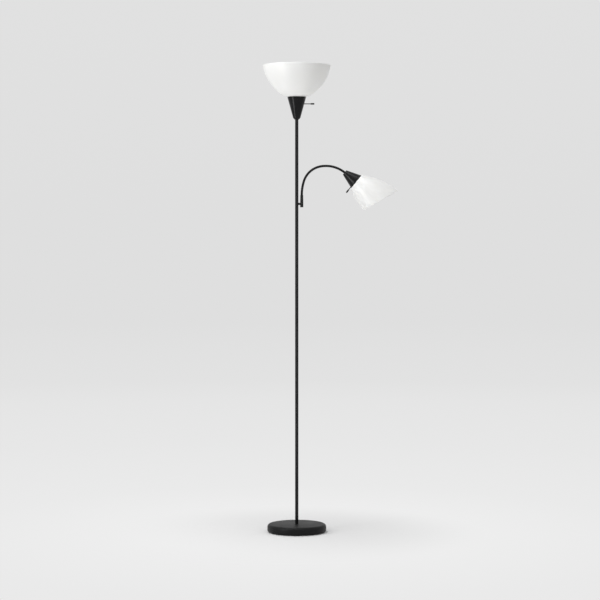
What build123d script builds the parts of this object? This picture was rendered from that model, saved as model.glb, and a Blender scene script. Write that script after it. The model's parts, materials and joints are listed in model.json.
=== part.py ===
from build123d import *

import math
import os

# Torchiere floor lamp: a weighted round base, a pole of screwed tubes, an uplight with a bowl
# shade, and a reading light on a flexible gooseneck.
# Millimetres. +Z is up and the origin is the centre of the base on the floor.
# +X is the side that the reading light reaches over, and -Y is the front.

# ---- Heights ----------------------------------------------------------------------------
LAMP_HEIGHT = 1810.0          # floor to the bowl's rim
BOWL_DEPTH = 122.0            # bowl's seat to its rim
UPLIGHT_CONE_LENGTH = 88.0    # pole's top to the bowl's seat
BASE_HEIGHT = 32.0

# ---- Clearances -------------------------------------------------------------------------
SEAT_GAP = 0.05               # round pieces that are pushed or screwed into one another
SLIP_GAP = 0.3                # a loose hole round a fixed piece
RUNNING_GAP = 0.05            # a turning shaft in its bore
LINK_GAP = 0.3                # a ball end in the cup of the next link
CAM_GAP = 0.5                 # a turning cam in its chamber

# ---- Base -------------------------------------------------------------------------------
BASE_RADIUS = 114.5
BASE_TOP_EDGE = 11.0
BASE_FOOT_EDGE = 8.0
FOOT_LIP = 2.0                # flat left inside the rolled-in foot
COVER_WALL = 1.6
PAD_THICKNESS = 1.5
PAD_INSET = 6.0               # pad's edge inside the floor plate's edge
PLATE_THICKNESS = 1.6
WEIGHT_THICKNESS = 14.0
WEIGHT_EDGE = 2.0
WEIGHT_SIDE_GAP = 2.0         # lets the weight in through the cover's open foot
BOSS_RADIUS = 6.0
BOSS_CIRCLE = 72.0            # distance of the plate's screws from the middle
BOSS_COUNT = 3
CORD_GROOVE_WIDTH = 9.0
CORD_GROOVE_DEPTH = 6.0
PLATE_SCREW_RADIUS = 1.8
PLATE_SCREW_HEAD = 3.8
PLATE_SCREW_LENGTH = 10.0
WASHER_RADIUS = 14.0
WASHER_THICKNESS = 1.5
BASE_NUT_FLATS = 13.0
BASE_NUT_THICKNESS = 6.5
STUD_TAIL = 2.0               # thread left below the nut

# ---- Cord inlet at the back of the base ---------------------------------------------------
INLET_BORE = 2.9
GROMMET_NECK = 4.2
GROMMET_FLANGE = 5.5
GROMMET_EDGE = 0.5
GROMMET_SLACK = 0.4           # inner flange's distance from the cover's curved wall
GROMMET_FLANGE_THICKNESS = 1.6

# ---- Pole -------------------------------------------------------------------------------
POLE_RADIUS = 6.5
POLE_WALL = 0.9
POLE_SECTIONS = 4
POLE_THREAD = 4.0
POLE_THREAD_LENGTH = 12.0
LEAD_WAY = 2.6                # bore for the lead through every threaded piece
INSERT_LENGTH = 14.0

# ---- Arm that holds the gooseneck -----------------------------------------------------------
ARM_RISE = 67.0               # arm's axis above the foot of the top tube
ARM_REACH = 19.4              # pole's axis to ferrule's axis
ARM_THREAD = 3.0
ARM_LEAD_WAY = 1.8
ARM_INSERT_LENGTH = 20.0
COLLAR_END_RADIUS = 5.2
COLLAR_WAIST_RADIUS = 4.1
FERRULE_RADIUS = 6.1
FERRULE_TOP_RADIUS = 5.5
FERRULE_DROP = 13.0           # arm's axis to ferrule's foot
FERRULE_LENGTH = 47.0
FERRULE_TAPER = 22.0
FERRULE_PLUG_THICKNESS = 4.0
NECK_INSET = 24.0             # gooseneck held inside the ferrule

# ---- Gooseneck --------------------------------------------------------------------------
NECK_RADIUS = 4.7
NECK_BORE = 2.4
NECK_ARCS = ((180.0, 55.0), (83.0, 90.0), (116.0, 99.0))  # bend radius and length, upwards
NECK_HINGES = 10
FIRST_HINGE = 12.0            # past the ferrule's top
LAST_HINGE = 12.4             # before the reading cone
NECK_TAIL = 10.0              # gooseneck held inside the reading light's stem

# ---- Both cones -------------------------------------------------------------------------
CONE_WALL = 2.2
CONE_FLOOR = 4.0
SHADOW_LINE_DROP = 6.0        # fine groove below the rim
SHADOW_LINE_DEPTH = 0.5
SHADOW_LINE_WIDTH = 1.0
STEM_RADIUS = 5.7
STEM_IN_SOCKET = 6.0
STEM_NUT_FLATS = 16.0
STEM_NUT_THICKNESS = 4.0

# ---- Uplight cone -------------------------------------------------------------------------
UPLIGHT_CONE_FOOT = 7.5
UPLIGHT_CONE_SHOULDER = 13.9
UPLIGHT_SHOULDER_HEIGHT = 6.0
UPLIGHT_CONE_RIM = 36.5
UPLIGHT_RIM_EDGE = 3.0
UPLIGHT_LIP = 4.0             # thick inner lip that the bowl rests on

# ---- Reading cone -------------------------------------------------------------------------
READING_CONE_LENGTH = 60.0
READING_CONE_FOOT = 10.9
READING_CONE_RIM = 32.2
READING_RIM_EDGE = 0.8

# ---- Both lampholders ---------------------------------------------------------------------
SOCKET_RADIUS = 17.0
SOCKET_BARREL = 19.0
BARREL_EDGE = 1.0
SOCKET_FLANGE = 22.0
SOCKET_FLANGE_THICKNESS = 3.0
SWITCH_DEPTH = 19.0           # switch's axis to the lampholder's foot
SHELL_RADIUS = 14.0           # brass screw shell, outside
SHELL_WALL = 0.5
SHELL_DEPTH = 25.0
CONTACT_RADIUS = 4.5
CONTACT_THICKNESS = 0.8
CONTACT_RISE = 1.6
RING_RADIUS = 27.0
RING_THICKNESS = 7.0
RING_NOTCHES = 10
RING_NOTCH_RADIUS = 2.2
CAM_RADIUS = 4.5
CAM_LENGTH = 7.0
CAM_FLAT = 1.3
SWITCH_SHAFT = 1.6
SWITCH_HOLE = 3.0             # hole in the cone's side
KNOB_RADIUS = 3.1
KNOB_LENGTH = 15.0
KNOB_FLUTES = 6
KNOB_FLUTE_RADIUS = 1.0

# ---- Uplight lampholder, measured from the bowl's seat ----------------------------------------
UPLIGHT_SWITCH_DROP = 27.0
UPLIGHT_SHELL_DROP = 9.0
UPLIGHT_KNOB_TIP = 68.0       # from the lampholder's axis

# ---- Reading lampholder, measured from the shade's seat ----------------------------------------
READING_SWITCH_DROP = 6.2
READING_SHELL_DROP = -2.0
READING_KNOB_TIP = 57.0

# ---- Shades -----------------------------------------------------------------------------
SHADE_WALL = 2.2
SHADE_LIP = 0.9               # rounding of the open rims
SIDE_STEPS = 8                # stretches between the points of a bowed side
BOWL_RADIUS = 130.5
BOWL_FOOT_RADIUS = 37.0       # flat seat on the cone
BOWL_FLOOR_RADIUS = 49.0      # where the floor, which slopes up from the seat, meets the side
BOWL_FLOOR_RISE = 4.0
BOWL_ARC_RADIUS = 158.0
BOWL_FLOOR_EDGE = 10.0
BELL_LENGTH = 145.0           # seat to the far end of the slanted rim
BELL_SEAT_RADIUS = 33.6
BELL_RADIUS = 71.5
BELL_ARC_RADIUS = 290.0
BELL_SEAT_EDGE = 2.5
BELL_SHORT_SIDE = 87.5        # seat to the near end of the slanted rim

# ---- Bulbs ------------------------------------------------------------------------------
CAP_RADIUS = 13.2
CAP_LENGTH = 25.0
CAP_TIP_RADIUS = 5.0
CAP_TIP_LENGTH = 3.0
GLASS_WALL = 1.0
GLASS_NECK = 12.6
GLASS_IN_CAP = 4.0
UPLIGHT_BULB_RADIUS = 30.0
UPLIGHT_BULB_LENGTH = 108.0
READING_BULB_RADIUS = 24.0
READING_BULB_LENGTH = 85.0

# ---- Worked out from the sizes above -----------------------------------------------------------
BOWL_SEAT = LAMP_HEIGHT - BOWL_DEPTH
POLE_TOP = BOWL_SEAT - UPLIGHT_CONE_LENGTH
POLE_BORE = POLE_RADIUS - POLE_WALL
TUBE_LENGTH = (POLE_TOP - BASE_HEIGHT) / POLE_SECTIONS
ARM_HEIGHT = POLE_TOP - TUBE_LENGTH + ARM_RISE
FERRULE_FOOT = ARM_HEIGHT - FERRULE_DROP
FERRULE_TOP = FERRULE_FOOT + FERRULE_LENGTH
NECK_LENGTH = sum(length for radius, length in NECK_ARCS)
HINGE_PITCH = (NECK_LENGTH - FIRST_HINGE - LAST_HINGE) / (NECK_HINGES - 1)
BARREL_GAP_RADIUS = SOCKET_BARREL + SLIP_GAP
INLET_HEIGHT = (PAD_THICKNESS + BASE_FOOT_EDGE + BASE_HEIGHT - BASE_TOP_EDGE) / 2
FOOT_OPENING = BASE_RADIUS - BASE_FOOT_EDGE - FOOT_LIP

UP = Align.CENTER, Align.CENTER, Align.MIN
ACROSS = Rotation(0, 90, 0)   # turns a piece drawn up Z to lie along +X


# ---- Shapes that several pieces share --------------------------------------------------------
def rod(radius, low, high):
    return Pos(0, 0, low) * Cylinder(radius, high - low, align=UP)


def tube(radius, bore, low, high):
    return rod(radius, low, high) - rod(bore, low, high)


def turned(outline):
    """Turn a closed half outline, drawn as radius and height, about the Z axis."""
    return revolve(Plane.XZ * make_face(outline), Axis.Z)


def round_the_middle(radius, count):
    return PolarLocations(radius, count)


def hex_nut(flats, bore, low, high):
    hexagon = RegularPolygon(flats / 2, 6, major_radius=False)
    corners = turned(nut_outline(flats, low, high))
    return (Pos(0, 0, low) * extrude(hexagon, high - low) & corners) - rod(bore, low, high)


def nut_outline(flats, low, high):
    """Bevels that take the corners off both ends of a nut."""
    corner = flats / math.sqrt(3)
    bevel = (corner - flats / 2) / 2
    points = [(0, low), (flats / 2, low), (corner, low + bevel), (corner, high - bevel)]
    return Polyline(*points, (flats / 2, high), (0, high), close=True)


def on_x(piece, height=0.0):
    """Lay a piece drawn up Z along +X at a height on the lamp's or head's axis."""
    return Pos(0, 0, height) * ACROSS * piece


# ---- Base -------------------------------------------------------------------------------
def base_cover():
    """Pressed shell, open below, with a big soft top edge and a rolled-in foot."""
    skin = FilletPolyline(
        (FOOT_OPENING, PAD_THICKNESS),
        (BASE_RADIUS, PAD_THICKNESS),
        (BASE_RADIUS, BASE_HEIGHT),
        (POLE_THREAD + SLIP_GAP, BASE_HEIGHT),
        radius=[BASE_FOOT_EDGE, BASE_TOP_EDGE],
    )
    shell = turned(offset(skin, amount=COVER_WALL, side=Side.LEFT))
    return shell - inlet_axis() * rod(GROMMET_NECK + SEAT_GAP, -BASE_TOP_EDGE, BASE_TOP_EDGE)


def inlet_axis():
    """Frame of the cord's inlet: its Z axis points out of the back of the base."""
    return Plane(origin=(0, BASE_RADIUS, INLET_HEIGHT), x_dir=(1, 0, 0), z_dir=(0, 1, 0)).location


def cord_grommet():
    """Rubber bush with a flange on each side of the cover's wall."""
    inner = -COVER_WALL - GROMMET_SLACK
    bush = tube(GROMMET_NECK, INLET_BORE, inner, 0)
    for low in (inner - GROMMET_FLANGE_THICKNESS, 0):
        flange = tube(GROMMET_FLANGE, INLET_BORE, low, low + GROMMET_FLANGE_THICKNESS)
        rims = flange.edges().filter_by(GeomType.CIRCLE)
        bush += fillet(rims.group_by(SortBy.RADIUS)[-1], GROMMET_EDGE)
    return inlet_axis() * bush


def plate_top():
    return PAD_THICKNESS + PLATE_THICKNESS


def plate_radius():
    return FOOT_OPENING - SLIP_GAP


def floor_plate():
    """Disc that closes the base from below, countersunk for its screws."""
    plate = rod(plate_radius(), PAD_THICKNESS, plate_top())
    for place in round_the_middle(BOSS_CIRCLE, BOSS_COUNT):
        plate -= place * plate_screw(SLIP_GAP)
    return plate


def plate_screw(gap=0.0):
    """Countersunk screw, or the hole for it when a gap is given."""
    head = PLATE_SCREW_HEAD + gap
    shank = PLATE_SCREW_RADIUS + gap
    low = PAD_THICKNESS
    points = [(0, low), (head, low), (shank, low + head - shank), (shank, low + PLATE_SCREW_LENGTH)]
    return turned(Polyline(*points, (0, low + PLATE_SCREW_LENGTH), close=True))


def floor_plate_screws():
    return [place * plate_screw() for place in round_the_middle(BOSS_CIRCLE, BOSS_COUNT)]


def floor_pad():
    """Foam disc that the lamp stands on."""
    pad = rod(plate_radius() - PAD_INSET, 0, PAD_THICKNESS)
    return chamfer(pad.faces().sort_by(Axis.Z)[0].edges(), PAD_THICKNESS / 3)


def weight_top():
    return BASE_HEIGHT - COVER_WALL


def weight_foot():
    return weight_top() - WEIGHT_THICKNESS


def base_weight():
    """Iron disc under the cover's top, with bosses for the plate and a groove for the cord."""
    radius = FOOT_OPENING - WEIGHT_SIDE_GAP
    disc = rod(radius, weight_foot(), weight_top())
    disc = chamfer(disc.faces().sort_by(Axis.Z)[-1].edges(), WEIGHT_EDGE)
    for place in round_the_middle(BOSS_CIRCLE, BOSS_COUNT):
        disc += place * rod(BOSS_RADIUS, plate_top(), weight_foot())
        disc -= place * plate_screw(SEAT_GAP)
    groove = Box(CORD_GROOVE_WIDTH, radius + 1, CORD_GROOVE_DEPTH, align=(Align.CENTER, Align.MIN, Align.MIN))
    disc -= Pos(0, 0, weight_foot()) * groove
    return disc - rod(POLE_THREAD + SLIP_GAP, weight_foot(), weight_top())


def base_washer():
    return tube(WASHER_RADIUS, POLE_THREAD + SLIP_GAP, weight_foot() - WASHER_THICKNESS, weight_foot())


def base_nut():
    high = weight_foot() - WASHER_THICKNESS
    return hex_nut(BASE_NUT_FLATS, POLE_THREAD + SEAT_GAP, high - BASE_NUT_THICKNESS, high)


def base_stud():
    """Hollow threaded stud that draws the pole down on the cover and the weight."""
    foot = weight_foot() - WASHER_THICKNESS - BASE_NUT_THICKNESS - STUD_TAIL
    return tube(POLE_THREAD, LEAD_WAY, foot, BASE_HEIGHT + POLE_THREAD_LENGTH)


# ---- Pole -------------------------------------------------------------------------------
def tube_foot(number):
    """Height of the lower end of a pole tube, the lowest being number 1."""
    return BASE_HEIGHT + (number - 1) * TUBE_LENGTH


def pole_tube(number):
    pipe = tube(POLE_RADIUS, POLE_BORE, tube_foot(number), tube_foot(number + 1))
    if number == POLE_SECTIONS:
        pipe -= on_x(rod(ARM_THREAD + SEAT_GAP, 0, POLE_RADIUS + 1), ARM_HEIGHT)
    return pipe


def pole_insert(foot):
    """Threaded bush that is pressed into the end of a tube."""
    return tube(POLE_BORE - SEAT_GAP, POLE_THREAD + SEAT_GAP, foot, foot + INSERT_LENGTH)


def pole_inserts():
    """One bush in the foot of every tube, and one in the pole's top."""
    feet = [tube_foot(number) for number in range(1, POLE_SECTIONS + 1)]
    return [pole_insert(foot) for foot in [*feet, POLE_TOP - INSERT_LENGTH]]


def pole_stud(joint):
    """Plug pressed in the lower tube, with a thread for the bush of the tube above."""
    plug = rod(POLE_BORE - SEAT_GAP, joint - INSERT_LENGTH, joint)
    thread = rod(POLE_THREAD, joint, joint + POLE_THREAD_LENGTH)
    thread = chamfer(thread.faces().sort_by(Axis.Z)[-1].edges(), POLE_THREAD / 8)
    return plug + thread - rod(LEAD_WAY, joint - INSERT_LENGTH, joint + POLE_THREAD_LENGTH)


def pole_studs():
    return [pole_stud(tube_foot(number)) for number in range(2, POLE_SECTIONS + 1)]


# ---- Arm --------------------------------------------------------------------------------
def arm_insert():
    """Slug inside the top tube that the arm screws into."""
    low = ARM_HEIGHT - ARM_INSERT_LENGTH / 2
    slug = tube(POLE_BORE - SEAT_GAP, LEAD_WAY, low, low + ARM_INSERT_LENGTH)
    return slug - on_x(rod(ARM_THREAD + SEAT_GAP, 0, POLE_RADIUS), ARM_HEIGHT)


def arm_nipple():
    """Hollow threaded stem from the slug, through the tube and the collar, into the ferrule."""
    far_end = ARM_REACH - NECK_RADIUS - SLIP_GAP
    near_end = LEAD_WAY + SLIP_GAP
    return on_x(tube(ARM_THREAD, ARM_LEAD_WAY, near_end, far_end), ARM_HEIGHT)


def arm_collar():
    """Waisted spacer whose ends are hollowed to sit on the pole and on the ferrule."""
    near_end = 0
    far_end = ARM_REACH
    middle = (POLE_RADIUS + ARM_REACH - FERRULE_RADIUS) / 2
    half_waist = (ARM_REACH - FERRULE_RADIUS - POLE_RADIUS) / 2
    side = ThreePointArc(
        (COLLAR_END_RADIUS, middle - half_waist),
        (COLLAR_WAIST_RADIUS, middle),
        (COLLAR_END_RADIUS, middle + half_waist),
    )
    outline = side + Polyline(
        (COLLAR_END_RADIUS, middle + half_waist),
        (COLLAR_END_RADIUS, far_end),
        (ARM_THREAD + SEAT_GAP, far_end),
        (ARM_THREAD + SEAT_GAP, near_end),
        (COLLAR_END_RADIUS, near_end),
        (COLLAR_END_RADIUS, middle - half_waist),
    )
    spool = on_x(turned(outline), ARM_HEIGHT)
    spool -= rod(POLE_RADIUS + SEAT_GAP, FERRULE_FOOT, FERRULE_TOP)
    return spool - Pos(ARM_REACH, 0, 0) * rod(FERRULE_RADIUS + SEAT_GAP, FERRULE_FOOT, FERRULE_TOP)


def neck_ferrule():
    """Upright sleeve that grips the gooseneck's foot, tapered towards its top."""
    outline = Polyline(
        (NECK_RADIUS + SEAT_GAP, FERRULE_FOOT),
        (FERRULE_RADIUS, FERRULE_FOOT),
        (FERRULE_RADIUS, FERRULE_TOP - FERRULE_TAPER),
        (FERRULE_TOP_RADIUS, FERRULE_TOP),
        (NECK_RADIUS + SEAT_GAP, FERRULE_TOP),
        close=True,
    )
    sleeve = Pos(ARM_REACH, 0, 0) * turned(outline)
    return sleeve - on_x(rod(ARM_THREAD + SEAT_GAP, 0, ARM_REACH), ARM_HEIGHT)


def ferrule_plug():
    """Button that closes the ferrule's foot."""
    plug = rod(NECK_RADIUS, FERRULE_FOOT, FERRULE_FOOT + FERRULE_PLUG_THICKNESS)
    plug = chamfer(plug.edges().group_by(Axis.Z)[0], NECK_RADIUS / 8)
    return Pos(ARM_REACH, 0, 0) * plug


# ---- Gooseneck --------------------------------------------------------------------------
def neck_station(distance):
    """Point and heading on the gooseneck's centreline, counted from the ferrule's top."""
    x, z, heading = ARM_REACH, FERRULE_TOP, math.pi / 2
    left = distance
    for radius, length in NECK_ARCS:
        step = max(0.0, min(left, length))
        centre_x = x + radius * math.sin(heading)
        centre_z = z - radius * math.cos(heading)
        heading -= step / radius
        x = centre_x - radius * math.sin(heading)
        z = centre_z + radius * math.cos(heading)
        left -= length
    straight = min(distance, 0.0) + max(0.0, distance - NECK_LENGTH)
    return Vector(x + straight * math.cos(heading), 0, z + straight * math.sin(heading)), heading


def neck_plane(distance):
    """Plane across the gooseneck, with its Z axis along it, away from the pole."""
    point, heading = neck_station(distance)
    along = (math.cos(heading), 0, math.sin(heading))
    return Plane(origin=point, x_dir=(math.sin(heading), 0, -math.cos(heading)), z_dir=along)


def neck_run(start, end):
    """The centreline between two distances, as straight runs and arcs that meet in line."""
    bends = [0.0]
    for radius, length in NECK_ARCS:
        bends.append(bends[-1] + length)
    stops = [start, *[bend for bend in bends if start < bend < end], end]
    run = Curve()
    for low, high in zip(stops, stops[1:]):
        points = [neck_station(distance)[0] for distance in (low, (low + high) / 2, high)]
        outside = high <= 0 or low >= NECK_LENGTH
        run += Line(points[0], points[2]) if outside else ThreePointArc(*points)
    return run


def neck_pipe(start, end):
    ring = Circle(NECK_RADIUS) - Circle(NECK_BORE)
    return sweep(neck_plane(start) * ring, path=neck_run(start, end))


def ball_end(distance):
    """Rounded end of a link, centred on the hinge, so that it turns in place."""
    mouth = math.sqrt(NECK_RADIUS**2 - NECK_BORE**2)
    middle = math.pi / 4
    crown = NECK_RADIUS * math.cos(middle), NECK_RADIUS * math.sin(middle)
    outline = ThreePointArc((NECK_RADIUS, 0), crown, (NECK_BORE, mouth))
    outline += Polyline((NECK_BORE, mouth), (NECK_BORE, 0), (NECK_RADIUS, 0))
    return neck_plane(distance).location * turned(outline)


def hinge_distance(number):
    """Where a hinge is on the gooseneck, the one nearest the pole being number 1."""
    return FIRST_HINGE + (number - 1) * HINGE_PITCH


def neck_link(number):
    """One length of the gooseneck. Its start is a cup and its end a ball, each on a hinge."""
    first, last = number == 0, number == NECK_HINGES
    start = -NECK_INSET if first else hinge_distance(number)
    end = NECK_LENGTH + NECK_TAIL if last else hinge_distance(number + 1)
    link = neck_pipe(start, end)
    if not last:
        link += ball_end(end)
    if not first:
        link -= neck_plane(start).location * Sphere(NECK_RADIUS + LINK_GAP)
    return link


# ---- Heads: drawn up Z from the foot of the cone -----------------------------------------------
def uplight_frame():
    return Location((0, 0, POLE_TOP))


def reading_frame():
    return neck_plane(NECK_LENGTH).location


def hollow_cone(outer, foot, rim, length, switch_drop):
    """Moulded cone: a thick floor, an even wall, a switch hole and a fine shadow line."""
    slope = (rim - foot) / length
    inside_foot = foot + slope * CONE_FLOOR - CONE_WALL
    inside_rim = rim + slope - CONE_WALL
    points = [(0, CONE_FLOOR), (inside_foot, CONE_FLOOR), (inside_rim, length + 1), (0, length + 1)]
    cone = outer - turned(Polyline(*points, close=True))
    cone -= rod(STEM_RADIUS + SLIP_GAP, 0, CONE_FLOOR)
    cone -= on_x(rod(SWITCH_HOLE, 0, rim + 1), length - switch_drop)
    line = length - SHADOW_LINE_DROP
    surface = rim - slope * SHADOW_LINE_DROP
    groove = Polyline(
        (surface + SHADOW_LINE_WIDTH, line + SHADOW_LINE_WIDTH),
        (surface - SHADOW_LINE_DEPTH, line),
        (surface + SHADOW_LINE_WIDTH, line - SHADOW_LINE_WIDTH),
        close=True,
    )
    return cone - turned(groove)


def uplight_cone():
    """Slender cone whose foot is rounded down to the pole."""
    length = UPLIGHT_CONE_LENGTH
    side = FilletPolyline(
        (0, 0),
        (UPLIGHT_CONE_FOOT, 0),
        (UPLIGHT_CONE_SHOULDER, UPLIGHT_SHOULDER_HEIGHT),
        (UPLIGHT_CONE_RIM, length),
        (0, length),
        radius=[UPLIGHT_SHOULDER_HEIGHT / 8, UPLIGHT_SHOULDER_HEIGHT, UPLIGHT_RIM_EDGE],
    )
    outer = turned(side + Line((0, length), (0, 0)))
    slope = (UPLIGHT_CONE_RIM - UPLIGHT_CONE_SHOULDER) / (length - UPLIGHT_SHOULDER_HEIGHT)
    foot = UPLIGHT_CONE_SHOULDER - slope * UPLIGHT_SHOULDER_HEIGHT
    lip = tube(UPLIGHT_CONE_RIM, UPLIGHT_CONE_RIM - 2 * UPLIGHT_LIP, length - UPLIGHT_LIP, length)
    return hollow_cone(outer, foot, UPLIGHT_CONE_RIM, length, UPLIGHT_SWITCH_DROP) + (outer & lip)


def reading_cone():
    """Short cone with a flat narrow end that the gooseneck enters."""
    length = READING_CONE_LENGTH
    side = FilletPolyline(
        (0, 0), (READING_CONE_FOOT, 0), (READING_CONE_RIM, length), (0, length),
        radius=[READING_RIM_EDGE, READING_RIM_EDGE],
    )
    outer = turned(side + Line((0, length), (0, 0)))
    return hollow_cone(outer, READING_CONE_FOOT, READING_CONE_RIM, length, READING_SWITCH_DROP)


def socket_foot(seat, switch_drop):
    return seat - switch_drop - SWITCH_DEPTH


def uplight_stem():
    """Hollow threaded stem, stepped down to screw into the pole's top bush."""
    top = socket_foot(UPLIGHT_CONE_LENGTH, UPLIGHT_SWITCH_DROP) + STEM_IN_SOCKET
    step = rod(STEM_RADIUS, 0, top) + rod(POLE_THREAD, -POLE_THREAD_LENGTH, 0)
    return step - rod(LEAD_WAY, -POLE_THREAD_LENGTH, top)


def reading_stem():
    """Hollow threaded stem that is crimped on the gooseneck's end."""
    top = socket_foot(READING_CONE_LENGTH, READING_SWITCH_DROP) + STEM_IN_SOCKET
    stem = tube(STEM_RADIUS, LEAD_WAY, 0, top)
    return stem - rod(NECK_RADIUS + SEAT_GAP, 0, NECK_TAIL)


def stem_nut():
    """Locknut that clamps a cone's floor."""
    return hex_nut(STEM_NUT_FLATS, STEM_RADIUS + SEAT_GAP, CONE_FLOOR, CONE_FLOOR + STEM_NUT_THICKNESS)


def lampholder(seat, switch_drop, shell_drop):
    """Moulded lampholder: switch chamber below, shade flange at the seat, screw barrel above."""
    foot = socket_foot(seat, switch_drop)
    cavity_floor = seat - shell_drop
    top = cavity_floor + SHELL_DEPTH
    axis = seat - switch_drop
    body = rod(SOCKET_RADIUS, foot, seat) + rod(SOCKET_BARREL, seat, top)
    body += rod(SOCKET_FLANGE, seat - SOCKET_FLANGE_THICKNESS, seat)
    body = chamfer(body.edges().group_by(Axis.Z)[-1], BARREL_EDGE)
    body -= rod(SHELL_RADIUS + SEAT_GAP, cavity_floor, top)
    body -= rod(STEM_RADIUS + SEAT_GAP, foot, foot + STEM_IN_SOCKET + SLIP_GAP)
    half_chamber = CAM_LENGTH / 2 + CAM_GAP
    body -= on_x(rod(CAM_RADIUS + CAM_GAP, -half_chamber, half_chamber), axis)
    return body - on_x(rod(SWITCH_SHAFT + RUNNING_GAP, 0, SOCKET_FLANGE), axis)


def screw_shell(seat, shell_drop):
    """Thin brass cup that takes the bulb's cap, turned in at its foot."""
    low = seat - shell_drop
    cup = tube(SHELL_RADIUS, SHELL_RADIUS - SHELL_WALL, low, low + SHELL_DEPTH - SHELL_WALL)
    return cup + tube(SHELL_RADIUS, 2 * CONTACT_RADIUS, low, low + SHELL_WALL)


def centre_contact(seat, shell_drop):
    """Brass tongue, bent up in the middle to meet the bulb's tip."""
    low = seat - shell_drop
    half = CONTACT_RADIUS
    rise = CONTACT_RISE - CONTACT_THICKNESS
    middle = Polyline((-half, 0), (-half / 2, 0), (half / 4, rise), (half, rise))
    strip = offset(middle, amount=CONTACT_THICKNESS, side=Side.LEFT)
    tongue = extrude(Plane.XZ * make_face(strip), CONTACT_RADIUS / 2, both=True)
    box = tongue.bounding_box()
    return Pos(0, 0, low - box.min.Z) * tongue


def shade_ring(seat):
    """Threaded ring that holds a shade down, notched for the fingers."""
    low = seat + SHADE_WALL
    ring = rod(RING_RADIUS, low, low + RING_THICKNESS)
    ring = chamfer(ring.faces().sort_by(Axis.Z)[-1].edges(), RING_NOTCH_RADIUS / 2)
    ring -= rod(BARREL_GAP_RADIUS, low, low + RING_THICKNESS)
    notch = rod(RING_NOTCH_RADIUS, low, low + RING_THICKNESS)
    return ring - [place * notch for place in round_the_middle(RING_RADIUS, RING_NOTCHES)]


def switch_cam(seat, switch_drop):
    """Turning contact of the switch, with two flats."""
    cam = rod(CAM_RADIUS, -CAM_LENGTH / 2, CAM_LENGTH / 2)
    width = CAM_RADIUS - CAM_FLAT
    cam &= Box(2 * width, 2 * CAM_RADIUS, CAM_LENGTH)
    cam -= rod(SWITCH_SHAFT, 0, CAM_LENGTH)
    return on_x(cam, seat - switch_drop)


def switch_shaft(seat, switch_drop, tip):
    end = tip - KNOB_LENGTH / 2
    return on_x(rod(SWITCH_SHAFT, 0, end), seat - switch_drop)


def switch_knob(seat, switch_drop, tip):
    """Slim fluted grip on the end of the shaft, rounded at its tip."""
    low = tip - KNOB_LENGTH
    side = FilletPolyline(
        (0, low), (KNOB_RADIUS * 0.75, low), (KNOB_RADIUS, low + KNOB_LENGTH / 4), (KNOB_RADIUS, tip), (0, tip),
        radius=[KNOB_RADIUS / 8, KNOB_RADIUS / 2, KNOB_RADIUS / 3],
    )
    knob = turned(side + Line((0, tip), (0, low)))
    flute = rod(KNOB_FLUTE_RADIUS, low, tip)
    knob -= [place * flute for place in round_the_middle(KNOB_RADIUS + KNOB_FLUTE_RADIUS / 2, KNOB_FLUTES)]
    return on_x(knob - rod(SWITCH_SHAFT, low, tip - KNOB_LENGTH / 2), seat - switch_drop)


def bulb_foot(seat, shell_drop):
    return seat - shell_drop + CONTACT_RISE


def bulb_cap(foot):
    """Screw cap with its insulated tip."""
    shoulder = foot + CAP_TIP_LENGTH
    points = [(0, foot), (CAP_TIP_RADIUS, foot), (CAP_RADIUS, shoulder), (CAP_RADIUS, foot + CAP_LENGTH)]
    cap = turned(Polyline(*points, (0, foot + CAP_LENGTH), close=True))
    well = foot + CAP_LENGTH - GLASS_IN_CAP
    return cap - rod(GLASS_NECK + SEAT_GAP, well, foot + CAP_LENGTH)


def bulb_glass(foot, radius, length):
    """Pear-shaped envelope with an even wall, open at the neck."""
    low = foot + CAP_LENGTH - GLASS_IN_CAP
    centre = foot + length - radius
    neck_top = foot + CAP_LENGTH + GLASS_IN_CAP
    away = math.hypot(GLASS_NECK, centre - neck_top)
    turn = math.acos(radius / away) - math.atan2(GLASS_NECK, centre - neck_top)
    touch_x, touch_z = radius * math.sin(turn), centre - radius * math.cos(turn)
    side = [(GLASS_NECK, low), (GLASS_NECK, neck_top), (touch_x, touch_z), (0, centre)]
    pear = Polygon(*side, *[(-x, z) for x, z in side[2::-1]], align=None)
    pear += Pos(0, centre) * Circle(radius)
    corners = [v for v in pear.vertices() if abs(v.Y - neck_top) < SEAT_GAP]
    pear = fillet(corners, radius)
    wall = pear - offset(pear, amount=-GLASS_WALL) - Pos(0, low) * Rectangle(2 * (GLASS_NECK - GLASS_WALL), 4 * GLASS_WALL)
    half = Rectangle(2 * radius, 2 * length, align=(Align.MIN, Align.CENTER))
    return revolve(Plane.XZ * (wall & Pos(0, centre) * half), Axis.Z)


# ---- Shades -----------------------------------------------------------------------------
def meet_arc(point, along, centre, radius):
    """Where a line that starts inside a circle crosses it."""
    middle = (centre - point).dot(along)
    aside = (centre - point).length ** 2 - middle**2
    return point + along * (middle + math.sqrt(radius**2 - aside))


def shade_form(foot, along, centre, radius, high, edge):
    """Turned solid: flat out to its foot, then straight along the floor, then bowed about a centre."""
    start = meet_arc(foot, along, centre, radius)
    low_angle, high_angle = (math.asin((height - centre.Y) / radius) for height in (start.Y, high))
    angles = [low_angle + (high_angle - low_angle) * step / SIDE_STEPS for step in range(SIDE_STEPS + 1)]
    points = [centre + Vector(math.cos(angle), math.sin(angle)) * radius for angle in angles]
    corners = [foot, points[0]] if along.Y else [points[0]]
    half = make_face(Spline(*points) + Polyline(points[-1], (0, high), (0, foot.Y), *corners))
    half = fillet([half.vertices().sort_by_distance(corner)[0] for corner in corners], edge)
    return revolve(Plane.XZ * half, Axis.Z)


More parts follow.
